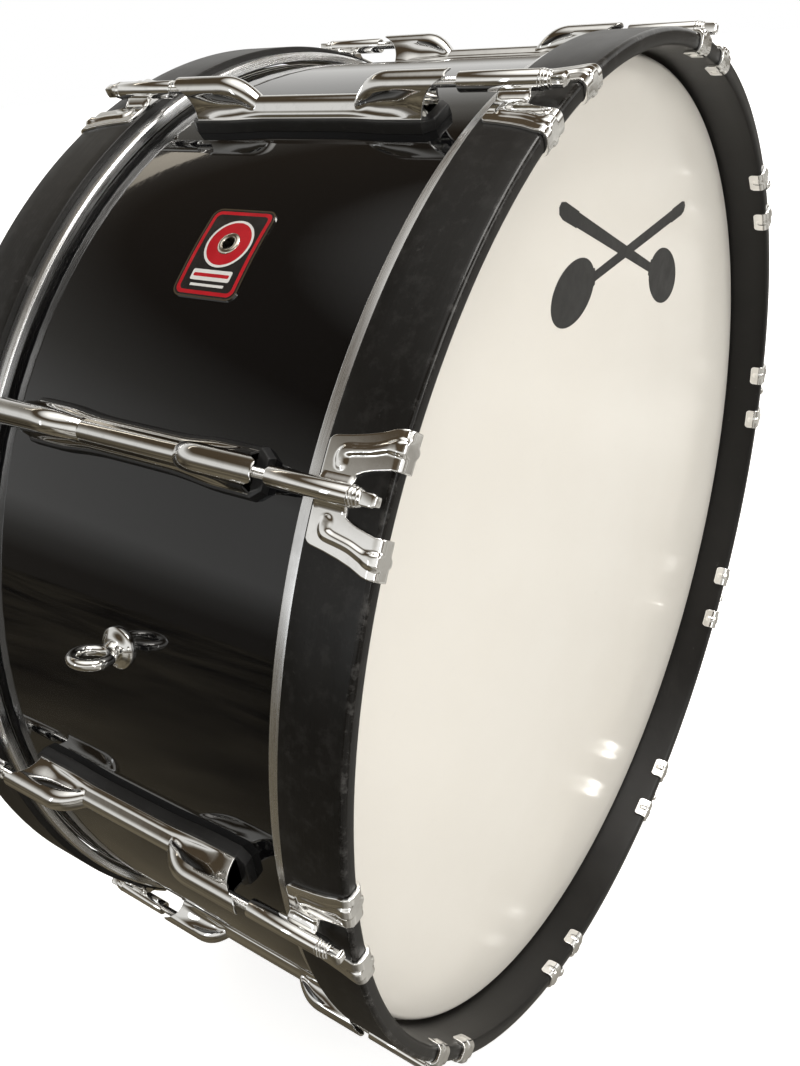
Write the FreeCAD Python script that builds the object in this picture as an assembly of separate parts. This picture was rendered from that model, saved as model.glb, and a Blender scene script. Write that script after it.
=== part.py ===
import FreeCAD, Part
import math
import os

Vector = FreeCAD.Vector

# A marching bass drum, nominally 28 x 10 inches, in millimetres.
# +Z is up, the front head faces -Y, and the drum's axis runs along Y at AXIS_HEIGHT.
# The origin is on the floor, midway between the hoops, where the drum stands on them.
# Every piece is first drawn about the drum's own axis, at the twelve o'clock station and
# at the front, and is then turned round to its station.

# Shell
SHELL_RADIUS = 353.5
SHELL_WALL = 7.0
SHELL_DEPTH = 260.0
EDGE_ROUND = 4.0
EDGE_LAND = 1.0
EDGE_BEVEL = 3.0

# Counterhoops and the overall depth over them
HOOP_OUTER = 366.0
HOOP_INNER = 356.0
HOOP_WIDTH = 40.0
RIM_HALF_DEPTH = 162.4
RIM_ROUND = 3.0
INBOARD_ROUND = 1.0
AXIS_HEIGHT = HOOP_OUTER

# Flesh hoops and head film
FLESH_OUTER = 362.0
FLESH_INNER = 356.0
FLESH_DEPTH = 9.2
FLESH_GAP = 0.05
FILM = 0.4
COLLAR_RADIUS = 353.9
CROWN_ROUND = 3.6
TUCK_RADIUS = 359.0
TUCK_DEPTH = 117.6
GROOVE_GAP = 0.1

# Stations of the lugs, claws and rods, counted anticlockwise from three o'clock
STATIONS = 10
STATION_STEP = 360.0 / STATIONS

# Tension rods, measured inboard from the rim's outboard face
ROD_RADIUS = 2.75
ROD_LINE = 374.0
ROD_CLEARANCE = 0.35
KEY_SQUARE = 6.3
KEY_START = 0.3
KEY_TAPER = 1.2
KEY_TIP = 4.6
COLLAR_START = 8.0
FLANGE_START = 9.3
FLANGE_END = 11.1
ROD_COLLAR = 4.0
ROD_FLANGE = 4.6
ROD_END = 92.0

# Washers under the rod's flange: (start, end, radius) inboard from the rim
ROD_WASHERS = ((11.15, 12.6, 4.9), (12.7, 14.4, 5.2))

# Claws
CLAW_GAP = 0.1
CLAW_OUTER = 367.8
CLAW_LIP_INNER = 354.0
CLAW_LIP_WALL = 1.9
CLAW_REACH = 38.0
CLAW_LIP_REACH = 10.0
CLAW_PROUD = 2.2
CLAW_BEND = 4.8
CLAW_SWEEP = 6.5
CLAW_TUBE = 5.05
TUBE_START = 14.5
TUBE_END = 60.0
SADDLE_START = 19.5
# Half of the claw's plan outline: (sideways, inboard from the rim, corner radius)
CLAW_PLAN = (
    (25.2, 38.0, 4.0), (27.6, 22.0, 30.0), (33.5, 3.5, 2.0), (33.5, -6.0, 0.0),
    (14.5, -6.0, 0.0), (14.5, 4.0, 3.0), (11.4, 15.0, 4.0), (9.5, 19.5, 2.0),
)
# Half of the saddle's cross-section under the tube: (sideways, from the axis)
SADDLE_SECTION = ((13.0, 365.0), (13.0, 367.0), (8.0, 368.6), (4.9, 373.5))

# Lug casings
CASING_HALF = 96.2
BELL_START = 36.0
BELL_FULL = 60.0
BELL_STEPS = 8
BELL_EASE = 2.4
BAR_HALF_WIDTH = 8.7
BELL_HALF_WIDTH = 10.8
BAR_CENTRE = 362.6
BELL_CENTRE = 373.0
BAR_ROUND = 6.0
BELL_ROUND = 7.6
FLANGE_EDGE = 1.2
CASING_WALL = 1.7
MOUTH_DEPTH = 20.0
MOUTH_CUT_RADIUS = 20.0
MOUTH_CUT_DEPTH = 15.2
MOUTH_CUT_LEVEL = 359.2

# Swivel nuts inside the casings
NUT_RADIUS = 4.6
NUT_START = 80.0
NUT_END = 91.0
NUT_CLEARANCE = 0.05
POCKET_CLEARANCE = 0.15

# Plinths between the casings and the shell
PLINTH_TOP = 359.2
PLINTH_FLARE = 1.0
PLINTH_SKIRT = 2.0
# Beyond this distance along the drum the flare also lengthens the plinth
PLINTH_SIDE = 70.0
# One quarter of the plinth's plan: (sideways, along the drum, corner radius)
PLINTH_PLAN = ((10.2, 32.0, 60.0), (12.6, 58.0, 60.0), (12.6, 81.5, 1.0), (8.0, 87.5, 1.0))

# Screws that hold each casing from inside the shell
SCREW_RADIUS = 2.5
SCREW_OFFSET = 45.0
SCREW_TOP = 366.5
SCREW_HEAD_RADIUS = 4.5
SCREW_HEAD_HEIGHT = 3.0
SCREW_WASHER_RADIUS = 6.0
SCREW_WASHER_HEIGHT = 1.0
SCREW_CLEARANCE = 0.25
THREAD_CLEARANCE = 0.05
INNER_SEAT = SHELL_RADIUS - SHELL_WALL - 0.1

# Badge and vent
BADGE_ANGLE = 125.75
BADGE_OFFSET = -4.6
BADGE_HALF_WIDTH = 22.5
BADGE_HALF_HEIGHT = 29.0
BADGE_CORNER = 6.0
BADGE_SHEET = 0.8
VENT_ANGLE = 124.85
VENT_OFFSET = -5.4
VENT_HOLE = 4.0
VENT_BARREL = 4.9
VENT_FLANGE = 7.0
VENT_LIP = 0.85
VENT_ROUND = 0.7
VENT_FIT = 0.1

# Sling eyes
EYE_ANGLES = {"left_sling_eye": 162.0, "right_sling_eye": 18.0}
EYE_WIRE = 3.2
EYE_RING = 10.0
EYE_BORE = 7.15
EYE_CENTRE = 372.0
EYE_NECK = 4.2
EYE_NECK_START = 358.5
EYE_NECK_END = 364.0
EYE_SHANK = 3.0
EYE_SHANK_END = 338.0
EYE_HOLE_CLEARANCE = 0.1
BOSS_RADIUS = 12.0
BOSS_TOP_RADIUS = 6.0
BOSS_EDGE = 2.0
EYE_NUT_FLATS = 10.0
EYE_NUT_HEIGHT = 5.0
EYE_WASHER_RADIUS = 8.0
EYE_WASHER_HEIGHT = 1.2

# How far a cutting tool runs past the faces that it cuts
PAST = 1.0

AXIS_X = Vector(1, 0, 0)
AXIS_Y = Vector(0, 1, 0)
AXIS_Z = Vector(0, 0, 1)
CENTRE = Vector(0, 0, 0)


def on_section(radius, along):
    """A point of a section that is turned about the drum's axis."""
    return Vector(radius, along, 0)


def in_plan(level):
    """A lift that draws an outline seen from outside the drum, at one level."""
    return lambda sideways, along: Vector(sideways, along, level)


def across(along):
    """A lift that draws an outline seen along the drum's axis."""
    return lambda sideways, level: Vector(sideways, along, level)


def rounded_wire(corners, lift):
    """Closed wire through (a, b, radius) corners, each rounded by its own radius."""
    entries = []
    for index, (a, b, radius) in enumerate(corners):
        before = corners[index - 1]
        after = corners[(index + 1) % len(corners)]
        here = Vector(a, b, 0)
        if radius <= 0:
            entries.append((here, None, here))
            continue
        back = (Vector(before[0], before[1], 0) - here).normalize()
        ahead = (Vector(after[0], after[1], 0) - here).normalize()
        half_angle = back.getAngle(ahead) / 2
        bisector = (back + ahead).normalize()
        reach = radius / math.tan(half_angle)
        depth = radius / math.sin(half_angle) - radius
        entries.append((here + back * reach, here + bisector * depth, here + ahead * reach))
    edges = []
    for index, (start, middle, end) in enumerate(entries):
        if middle is not None:
            arc = Part.Arc(lift(start.x, start.y), lift(middle.x, middle.y), lift(end.x, end.y))
            edges.append(arc.toShape())
        following = entries[(index + 1) % len(entries)][0]
        if (following - end).Length > 1e-6:
            edges.append(Part.LineSegment(lift(end.x, end.y), lift(following.x, following.y)).toShape())
    return Part.Wire(edges)


def turned(corners):
    """Solid of revolution about the drum's axis."""
    return Part.Face(rounded_wire(corners, on_section)).revolve(CENTRE, AXIS_Y, 360)


def prism(corners, bottom, top):
    """Upright prism with a plan outline, from one level to another."""
    return Part.Face(rounded_wire(corners, in_plan(bottom))).extrude(AXIS_Z * (top - bottom))


def rod_along(radius, start, end, level=ROD_LINE):
    """Cylinder along the drum's axis direction, from one inboard distance to another."""
    return Part.makeCylinder(radius, end - start, Vector(0, start - RIM_HALF_DEPTH, level), AXIS_Y)


def upright(radius, bottom, top, along=0.0):
    """Cylinder standing out from the shell."""
    return Part.makeCylinder(radius, top - bottom, Vector(0, along, bottom), AXIS_Z)


def full_cylinder(radius):
    """Cylinder about the drum's axis that is longer than the drum is deep."""
    return Part.makeCylinder(radius, 4 * RIM_HALF_DEPTH, Vector(0, -2 * RIM_HALF_DEPTH, 0), AXIS_Y)


def mirrored(points):
    """A half outline on the +sideways side, closed by its own reflection."""
    return tuple(points) + tuple((-a, *rest) for a, *rest in reversed(points))


def at_station(shape, angle):
    """Turn a shape from twelve o'clock to its station and lift it to the axis height."""
    placed = shape.copy()
    placed.rotate(CENTRE, AXIS_Y, 90.0 - angle)
    placed.translate(AXIS_Z * AXIS_HEIGHT)
    return placed


def to_rear(shape):
    """Turn a front piece end for end."""
    placed = shape.copy()
    placed.rotate(CENTRE, AXIS_Z, 180)
    return placed


def station_angles():
    return [index * STATION_STEP for index in range(STATIONS)]


def save(name, shape):
    shape.exportStep("parts/" + name + ".step")


def group(shapes):
    return Part.makeCompound(list(shapes))


def shell():
    """Ply tube with a bearing edge at both ends and its holes drilled."""
    half = SHELL_DEPTH / 2
    inner = SHELL_RADIUS - SHELL_WALL
    crest = SHELL_RADIUS - EDGE_ROUND - EDGE_LAND
    tube = turned((
        (SHELL_RADIUS, -half, EDGE_ROUND), (crest, -half, 0), (inner, EDGE_BEVEL - half, 0),
        (inner, half - EDGE_BEVEL, 0), (crest, half, 0), (SHELL_RADIUS, half, EDGE_ROUND),
    ))
    tube.translate(AXIS_Z * AXIS_HEIGHT)
    drills = []
    screw_hole = SCREW_RADIUS + SCREW_CLEARANCE
    for angle in station_angles():
        for along in (-SCREW_OFFSET, SCREW_OFFSET):
            drill = upright(screw_hole, inner - SHELL_WALL, SHELL_RADIUS + SHELL_WALL, along)
            drills.append(at_station(drill, angle))
    for angle in EYE_ANGLES.values():
        drill = upright(EYE_SHANK + EYE_HOLE_CLEARANCE, inner - SHELL_WALL, SHELL_RADIUS + SHELL_WALL)
        drills.append(at_station(drill, angle))
    vent = upright(VENT_BARREL + VENT_FIT, inner - SHELL_WALL, SHELL_RADIUS + SHELL_WALL, VENT_OFFSET)
    drills.append(at_station(vent, VENT_ANGLE))
    return tube.cut(drills)


def counterhoop():
    rim = -RIM_HALF_DEPTH
    inboard = rim + HOOP_WIDTH
    hoop = turned((
        (HOOP_OUTER, rim, RIM_ROUND), (HOOP_OUTER, inboard, INBOARD_ROUND),
        (HOOP_INNER, inboard, INBOARD_ROUND), (HOOP_INNER, rim, RIM_ROUND),
    ))
    return hoop


def flesh_hoop():
    """Aluminium ring with a groove inside that holds the film's tucked edge."""
    outboard = HOOP_WIDTH + FLESH_GAP - RIM_HALF_DEPTH
    inboard = outboard + FLESH_DEPTH
    ring = turned((
        (FLESH_OUTER, outboard, 0.5), (FLESH_OUTER, inboard, 0.8),
        (FLESH_INNER, inboard, 0.8), (FLESH_INNER, outboard, 0.5),
    ))
    groove = turned((
        (FLESH_INNER - 1.0, -TUCK_DEPTH - FILM - GROOVE_GAP, 0),
        (TUCK_RADIUS + GROOVE_GAP, -TUCK_DEPTH - FILM - GROOVE_GAP, 0),
        (TUCK_RADIUS + GROOVE_GAP, -TUCK_DEPTH + GROOVE_GAP, 0),
        (FLESH_INNER - 1.0, -TUCK_DEPTH + GROOVE_GAP, 0),
    ))
    return ring.cut(groove)


def head_film():
    """Film over the bearing edge, down its collar and out into the flesh hoop."""
    flat = SHELL_DEPTH / 2
    outer_collar = COLLAR_RADIUS + FILM
    return turned((
        (0, -flat, 0), (COLLAR_RADIUS, -flat, CROWN_ROUND), (COLLAR_RADIUS, -TUCK_DEPTH, 0),
        (TUCK_RADIUS, -TUCK_DEPTH, 0), (TUCK_RADIUS, -TUCK_DEPTH - FILM, 0),
        (outer_collar, -TUCK_DEPTH - FILM, 0), (outer_collar, -flat - FILM, CROWN_ROUND + FILM),
        (0, -flat - FILM, 0),
    ))


def claw():
    """Two arms hooked over the rim, joined by a saddle under the rod's tube."""
    rim = -RIM_HALF_DEPTH
    under = HOOP_OUTER + CLAW_GAP
    lip_outer = CLAW_LIP_INNER + CLAW_LIP_WALL
    hook = rounded_wire((
        (under, rim + CLAW_REACH, 0), (CLAW_OUTER, rim + CLAW_REACH, 0),
        (CLAW_OUTER, rim - CLAW_PROUD, CLAW_BEND), (CLAW_LIP_INNER, rim - CLAW_PROUD, CLAW_BEND),
        (CLAW_LIP_INNER, rim + CLAW_LIP_REACH, 0), (lip_outer, rim + CLAW_LIP_REACH, 0),
        (lip_outer, rim - CLAW_GAP, RIM_ROUND), (under, rim - CLAW_GAP, RIM_ROUND),
    ), on_section)
    band = Part.Face(hook).revolve(CENTRE, AXIS_Y, 2 * CLAW_SWEEP)
    band.rotate(CENTRE, AXIS_Y, -90 - CLAW_SWEEP)
    plan = [(sideways, rim + inboard, radius) for sideways, inboard, radius in mirrored(CLAW_PLAN)]
    arms = band.common(prism(plan, CLAW_LIP_INNER - HOOP_WIDTH, ROD_LINE))
    section = [(sideways, level, 0) for sideways, level in mirrored(SADDLE_SECTION)]
    saddle = Part.Face(rounded_wire(section, across(rim + SADDLE_START)))
    saddle = saddle.extrude(AXIS_Y * (CLAW_REACH - SADDLE_START))
    saddle = saddle.cut(full_cylinder(under))
    tube = rod_along(CLAW_TUBE, TUBE_START, TUBE_END)
    bore = rod_along(ROD_RADIUS + ROD_CLEARANCE, TUBE_START - PAST, TUBE_END + PAST)
    return arms.fuse([saddle, tube]).cut(bore).removeSplitter()


def tension_rod():
    """Square-headed rod: tapered key square, collar, flange and plain shank."""
    half = KEY_SQUARE / 2
    key_top = KEY_START + KEY_TAPER
    tip_corner = KEY_TIP / 2
    square = Part.makeBox(KEY_SQUARE, COLLAR_START - key_top, KEY_SQUARE,
                          Vector(-half, key_top - RIM_HALF_DEPTH, ROD_LINE - half))
    outlines = []
    for distance, corner in ((key_top, half), (KEY_START, tip_corner)):
        corners = mirrored(((corner, ROD_LINE - corner, 0), (corner, ROD_LINE + corner, 0)))
        outlines.append(rounded_wire(corners, across(distance - RIM_HALF_DEPTH)))
    taper = Part.makeLoft(outlines, True, True)
    collar = rod_along(ROD_COLLAR, COLLAR_START, FLANGE_START)
    flange = rod_along(ROD_FLANGE, FLANGE_START, FLANGE_END)
    shank = rod_along(ROD_RADIUS, FLANGE_END, ROD_END)
    return square.fuse([taper, collar, flange, shank]).removeSplitter()


def rod_washers():
    """The two washers between a rod's flange and its claw's tube."""
    washers = []
    for start, end, radius in ROD_WASHERS:
        bore = rod_along(ROD_RADIUS + ROD_CLEARANCE, start - PAST, end + PAST)
        washers.append(rod_along(radius, start, end).cut(bore))
    return washers


def arch(along, blend, inset=0.0):
    """Cross-section of a casing: flat base, low flange edges and a round crest."""
    half_width = BAR_HALF_WIDTH + blend * (BELL_HALF_WIDTH - BAR_HALF_WIDTH) - inset
    centre = BAR_CENTRE + blend * (BELL_CENTRE - BAR_CENTRE)
    radius = BAR_ROUND + blend * (BELL_ROUND - BAR_ROUND) - inset
    shoulder = PLINTH_TOP + FLANGE_EDGE
    distance = math.hypot(half_width, centre - shoulder)
    lean = math.atan2(centre - shoulder, half_width)
    tangent = math.acos(radius / distance)
    direction = tangent - lean
    touch = Vector(radius * math.cos(direction), along, centre + radius * math.sin(direction))
    other = Vector(-touch.x, along, touch.z)
    foot = Vector(half_width, along, PLINTH_TOP)
    edge = Vector(half_width, along, shoulder)
    far_edge = Vector(-half_width, along, shoulder)
    far_foot = Vector(-half_width, along, PLINTH_TOP)
    crest = Vector(0, along, centre + radius)
    return Part.Wire([
        Part.LineSegment(foot, edge).toShape(),
        Part.LineSegment(edge, touch).toShape(),
        Part.Arc(touch, crest, other).toShape(),
        Part.LineSegment(other, far_edge).toShape(),
        Part.LineSegment(far_edge, far_foot).toShape(),
        Part.LineSegment(far_foot, foot).toShape(),
    ])


def bell_blend(along):
    """0 on the bar and 1 at the full bell, rising quickly at first."""
    step = (abs(along) - BELL_START) / (BELL_FULL - BELL_START)
    step = min(1.0, max(0.0, step))
    return 1.0 - (1.0 - step) ** BELL_EASE


def lug_casing():
    """Full-length casting: a low bar that swells into a hollow bell at each end."""
    reach = [BELL_START + step * (BELL_FULL - BELL_START) / BELL_STEPS for step in range(BELL_STEPS + 1)]
    reach.append(CASING_HALF)
    stations = [-distance for distance in reversed(reach)] + reach
    body = Part.makeLoft([arch(along, bell_blend(along)) for along in stations], True, True)
    tools = []
    for end in (-1, 1):
        mouth = (CASING_HALF + PAST, CASING_HALF - MOUTH_DEPTH)
        wires = [arch(end * distance, 1.0, CASING_WALL) for distance in mouth]
        tools.append(Part.makeLoft(wires, True, True))
        cutter_centre = end * (CASING_HALF - MOUTH_CUT_DEPTH + MOUTH_CUT_RADIUS)
        tools.append(Part.makeCylinder(MOUTH_CUT_RADIUS, 2 * MOUTH_CUT_LEVEL,
                                       Vector(-MOUTH_CUT_LEVEL, cutter_centre, MOUTH_CUT_LEVEL), AXIS_X))
        pocket = rod_along(NUT_RADIUS + POCKET_CLEARANCE, TUBE_END, NUT_END + POCKET_CLEARANCE)
        relief = rod_along(ROD_RADIUS + ROD_CLEARANCE, NUT_END, ROD_END + PAST)
        screw_hole = upright(SCREW_RADIUS + THREAD_CLEARANCE, PLINTH_TOP - PAST,
                             SCREW_TOP + SCREW_CLEARANCE, -SCREW_OFFSET)
        for tool in (pocket, relief, screw_hole):
            tools.append(tool if end < 0 else to_rear(tool))
    return body.cut(tools)


def lug_nut():
    bore = rod_along(ROD_RADIUS + NUT_CLEARANCE, NUT_START - PAST, NUT_END + PAST)
    return rod_along(NUT_RADIUS, NUT_START, NUT_END).cut(bore)


def plinth_outline(grow, level):
    """The plinth's plan at one level, wider by the given growth all round."""
    quarter = [(sideways + grow, along + (grow if along > PLINTH_SIDE else 0), radius)
               for sideways, along, radius in PLINTH_PLAN]
    half = [(sideways, -along, radius) for sideways, along, radius in reversed(quarter)] + quarter
    return rounded_wire(mirrored(half), in_plan(level))


def lug_plinth():
    """Moulded seat between a casing and the shell, curved to the shell underneath."""
    lowest = SHELL_RADIUS - PLINTH_SKIRT
    block = Part.makeLoft([plinth_outline(PLINTH_FLARE, lowest), plinth_outline(0, PLINTH_TOP)], True, True)
    block = block.cut(full_cylinder(SHELL_RADIUS))
    holes = [upright(SCREW_RADIUS + SCREW_CLEARANCE, lowest, PLINTH_TOP + PAST, along)
             for along in (-SCREW_OFFSET, SCREW_OFFSET)]
    return block.cut(holes)


def lug_screw(along):
    head_top = INNER_SEAT - SCREW_WASHER_HEIGHT
    head = upright(SCREW_HEAD_RADIUS, head_top - SCREW_HEAD_HEIGHT, head_top, along)
    return head.fuse(upright(SCREW_RADIUS, head_top, SCREW_TOP, along)).removeSplitter()


def flat_washer(radius, bore, height, along=0.0):
    """Washer that seats against the inside of the shell."""
    disc = upright(radius, INNER_SEAT - height, INNER_SEAT, along)
    return disc.cut(upright(bore, INNER_SEAT - height - PAST, INNER_SEAT + PAST, along))


def badge():
    """Thin curved plate on the shell, pierced for the vent."""
    outline = (
        (BADGE_HALF_HEIGHT, BADGE_HALF_WIDTH), (-BADGE_HALF_HEIGHT, BADGE_HALF_WIDTH),
        (-BADGE_HALF_HEIGHT, -BADGE_HALF_WIDTH), (BADGE_HALF_HEIGHT, -BADGE_HALF_WIDTH),
    )
    corners = [(a, b + BADGE_OFFSET, BADGE_CORNER) for a, b in outline]
    block = prism(corners, SHELL_RADIUS - SHELL_WALL, SHELL_RADIUS + SHELL_WALL)
    plate = block.common(full_cylinder(SHELL_RADIUS + BADGE_SHEET)).cut(full_cylinder(SHELL_RADIUS))
    plate = at_station(plate, BADGE_ANGLE)
    vent = upright(VENT_BARREL + VENT_FIT, SHELL_RADIUS - SHELL_WALL, SHELL_RADIUS + SHELL_WALL, VENT_OFFSET)
    return plate.cut(at_station(vent, VENT_ANGLE))


def vent_grommet():
    """Rolled eyelet: a barrel through the shell with a flange on each side."""
    outside = SHELL_RADIUS + BADGE_SHEET
    barrel = upright(VENT_BARREL, INNER_SEAT - VENT_LIP, outside + VENT_LIP, VENT_OFFSET)
    outer_flange = upright(VENT_FLANGE, outside, outside + VENT_LIP, VENT_OFFSET)
    outer_flange = outer_flange.makeFillet(VENT_ROUND, [outer_flange.Edges[0]])
    inner_flange = upright(VENT_FLANGE, INNER_SEAT - VENT_LIP, INNER_SEAT, VENT_OFFSET)
    hole = upright(VENT_HOLE, INNER_SEAT - SHELL_WALL, outside + SHELL_WALL, VENT_OFFSET)
    return barrel.fuse([outer_flange, inner_flange]).cut(hole).removeSplitter()


def sling_eye():
    """Ring in the plane of the drum's axis, with a shank through the shell."""
    middle = Vector(0, 0, EYE_CENTRE)
    ring = Part.makeTorus(EYE_RING, EYE_WIRE, middle, AXIS_X)
    neck = upright(EYE_NECK, EYE_NECK_START, EYE_NECK_END)
    shank = upright(EYE_SHANK, EYE_SHANK_END, EYE_NECK_START)
    bore = Part.makeCylinder(EYE_BORE, 4 * EYE_WIRE, middle - AXIS_X * 2 * EYE_WIRE, AXIS_X)
    return ring.fuse([neck, shank]).cut(bore).removeSplitter()


def eye_boss():
    """Domed collar that spreads the sling eye's load on the shell."""
    foot = SHELL_RADIUS - PAST
    profile = rounded_wire((
        (EYE_SHANK + EYE_HOLE_CLEARANCE, foot, 0), (BOSS_RADIUS, foot, 0),
        (BOSS_RADIUS, SHELL_RADIUS + BOSS_EDGE, 1.0), (BOSS_TOP_RADIUS, EYE_NECK_START, 2.0),
        (EYE_SHANK + EYE_HOLE_CLEARANCE, EYE_NECK_START, 0),
    ), lambda radius, level: Vector(radius, 0, level))
    dome = Part.Face(profile).revolve(CENTRE, AXIS_Z, 360)
    return dome.cut(full_cylinder(SHELL_RADIUS))


def eye_nut():
    top = INNER_SEAT - EYE_WASHER_HEIGHT
    corner = EYE_NUT_FLATS / math.sqrt(3)
    angles = [math.radians(60 * index) for index in range(6)]
    corners = [(corner * math.cos(angle), corner * math.sin(angle), 0) for angle in angles]
    block = prism(corners, top - EYE_NUT_HEIGHT, top)
    return block.cut(upright(EYE_SHANK + THREAD_CLEARANCE, top - EYE_NUT_HEIGHT - PAST, top + PAST))


def save_both_ends(name, piece):
    """Write a ring or film for the front and the rear."""
    for end, shape in (("front", piece), ("rear", to_rear(piece))):
        shape.translate(AXIS_Z * AXIS_HEIGHT)
        save(end + "_" + name, shape)


def save_stations():
    """Write everything that repeats at the ten stations."""
    casing = lug_casing()
    plinth = lug_plinth()
    screws = [lug_screw(along) for along in (-SCREW_OFFSET, SCREW_OFFSET)]
    bore = SCREW_RADIUS + SCREW_CLEARANCE
    washers = [flat_washer(SCREW_WASHER_RADIUS, bore, SCREW_WASHER_HEIGHT, along)
               for along in (-SCREW_OFFSET, SCREW_OFFSET)]
    angles = station_angles()
    for index, angle in enumerate(angles):
        save("lug_casing_%02d" % (index + 1), at_station(casing, angle))
    save("lug_plinths", group(at_station(plinth, angle) for angle in angles))
    save("lug_screws", group(at_station(screw, angle) for angle in angles for screw in screws))
    save("lug_screw_washers", group(at_station(washer, angle) for angle in angles for washer in washers))
    for end, place in (("front", lambda shape: shape), ("rear", to_rear)):
        rod = place(tension_rod())
        hook = place(claw())
        nut = place(lug_nut())
        spacers = [place(washer) for washer in rod_washers()]
        for index, angle in enumerate(angles):
            save("%s_tension_rod_%02d" % (end, index + 1), at_station(rod, angle))
        save(end + "_claws", group(at_station(hook, angle) for angle in angles))
        save(end + "_lug_nuts", group(at_station(nut, angle) for angle in angles))
        save(end + "_rod_washers", group(at_station(spacer, angle) for angle in angles for spacer in spacers))


def save_sling_eyes():
    for name, angle in EYE_ANGLES.items():
        save(name, at_station(sling_eye(), angle))
    washer = flat_washer(EYE_WASHER_RADIUS, EYE_SHANK + EYE_HOLE_CLEARANCE, EYE_WASHER_HEIGHT)
    angles = EYE_ANGLES.values()
    save("sling_eye_bosses", group(at_station(eye_boss(), angle) for angle in angles))
    save("sling_eye_washers", group(at_station(washer, angle) for angle in angles))
    save("sling_eye_nuts", group(at_station(eye_nut(), angle) for angle in angles))


os.makedirs("parts", exist_ok=True)
save("shell", shell())
save("badge", badge())
save("vent_grommet", at_station(vent_grommet(), VENT_ANGLE))
save_both_ends("counterhoop", counterhoop())
save_both_ends("flesh_hoop", flesh_hoop())
save_both_ends("head_film", head_film())
save_stations()
save_sling_eyes()
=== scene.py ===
import math

import bmesh
import bpy
from mathutils import Matrix, Vector


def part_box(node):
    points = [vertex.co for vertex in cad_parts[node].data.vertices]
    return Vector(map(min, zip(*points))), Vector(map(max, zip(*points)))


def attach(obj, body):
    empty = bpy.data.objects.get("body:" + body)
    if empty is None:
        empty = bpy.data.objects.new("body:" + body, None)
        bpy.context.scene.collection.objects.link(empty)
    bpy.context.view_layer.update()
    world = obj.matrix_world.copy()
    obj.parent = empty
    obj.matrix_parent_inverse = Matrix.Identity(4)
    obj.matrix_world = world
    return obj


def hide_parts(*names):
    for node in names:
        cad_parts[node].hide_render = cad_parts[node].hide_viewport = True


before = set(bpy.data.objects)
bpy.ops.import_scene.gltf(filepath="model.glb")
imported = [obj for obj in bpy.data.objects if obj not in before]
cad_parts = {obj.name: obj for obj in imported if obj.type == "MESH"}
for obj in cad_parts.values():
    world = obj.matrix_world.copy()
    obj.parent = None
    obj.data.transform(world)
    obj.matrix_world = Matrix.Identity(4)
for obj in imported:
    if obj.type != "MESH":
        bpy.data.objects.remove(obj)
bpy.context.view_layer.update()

# Shapes are drawn in millimetres about the drum's own axis, at twelve o'clock and at the
# front: X runs sideways, Y along the axis, and Z out from it. "Inboard" distances are
# measured from the rim's outboard face. Each piece is then turned to its station.
MM = 0.001
hoop_low, hoop_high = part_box("front_counterhoop")
film_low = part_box("front_head_film")[0]
flesh_low, flesh_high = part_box("front_flesh_hoop")


def in_mm(length):
    """A frame length in millimetres, to the nearest tenth."""
    return round(length / MM, 1)


HOOP_OUTER = in_mm(hoop_high.x)
RIM = in_mm(-hoop_low.y)
HOOP_WIDTH = in_mm(hoop_high.y - hoop_low.y)
AXIS_HEIGHT = in_mm((hoop_high.z + hoop_low.z) / 2)
FILM_FACE = in_mm(-film_low.y)
FLESH_OUTER = in_mm(flesh_high.x)
FLESH_INBOARD = in_mm(-flesh_high.y)
FLESH_OUTBOARD = in_mm(-flesh_low.y)

SHELL_RADIUS = 353.5
HOOP_THICKNESS = 10.0
FLESH_INNER = 356.0
FILM = 0.4
FILM_COLLAR = 354.3
CROWN_ROUND = 4.0
ROD_LINE = 374.0
PLINTH_TOP = 359.2
STATIONS = 10
ROUND_STEPS = 512


# ---- mesh helpers

def mesh_from(name, points, faces, sharp=32.0):
    """Closed mesh from points in millimetres, smooth except across sharp edges."""
    mesh = bpy.data.meshes.new(name)
    mesh.from_pydata([Vector(point) * MM for point in points], [], faces)
    mesh.validate()
    bm = bmesh.new()
    bm.from_mesh(mesh)
    bmesh.ops.recalc_face_normals(bm, faces=bm.faces)
    bm.to_mesh(mesh)
    bm.free()
    mesh.polygons.foreach_set("use_smooth", [True] * len(mesh.polygons))
    mesh.set_sharp_from_angle(angle=math.radians(sharp))
    return mesh


def skin(rings, caps=True, closed_along=False):
    """Points and faces of a skin over closed rings that all have the same number of points."""
    count = len(rings[0])
    points = [point for ring in rings for point in ring]
    faces = []
    along = len(rings) if closed_along else len(rings) - 1
    for row in range(along):
        here = row * count
        ahead = ((row + 1) % len(rings)) * count
        for column in range(count):
            beside = (column + 1) % count
            faces.append((here + column, here + beside, ahead + beside, ahead + column))
    if caps and not closed_along:
        last = (len(rings) - 1) * count
        faces.append(tuple(range(count - 1, -1, -1)))
        faces.append(tuple(range(last, last + count)))
    return points, faces


def joined(parts):
    """Several (points, faces) pairs as one."""
    points = []
    faces = []
    for more_points, more_faces in parts:
        offset = len(points)
        points.extend(more_points)
        faces.extend(tuple(index + offset for index in face) for face in more_faces)
    return points, faces


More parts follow.
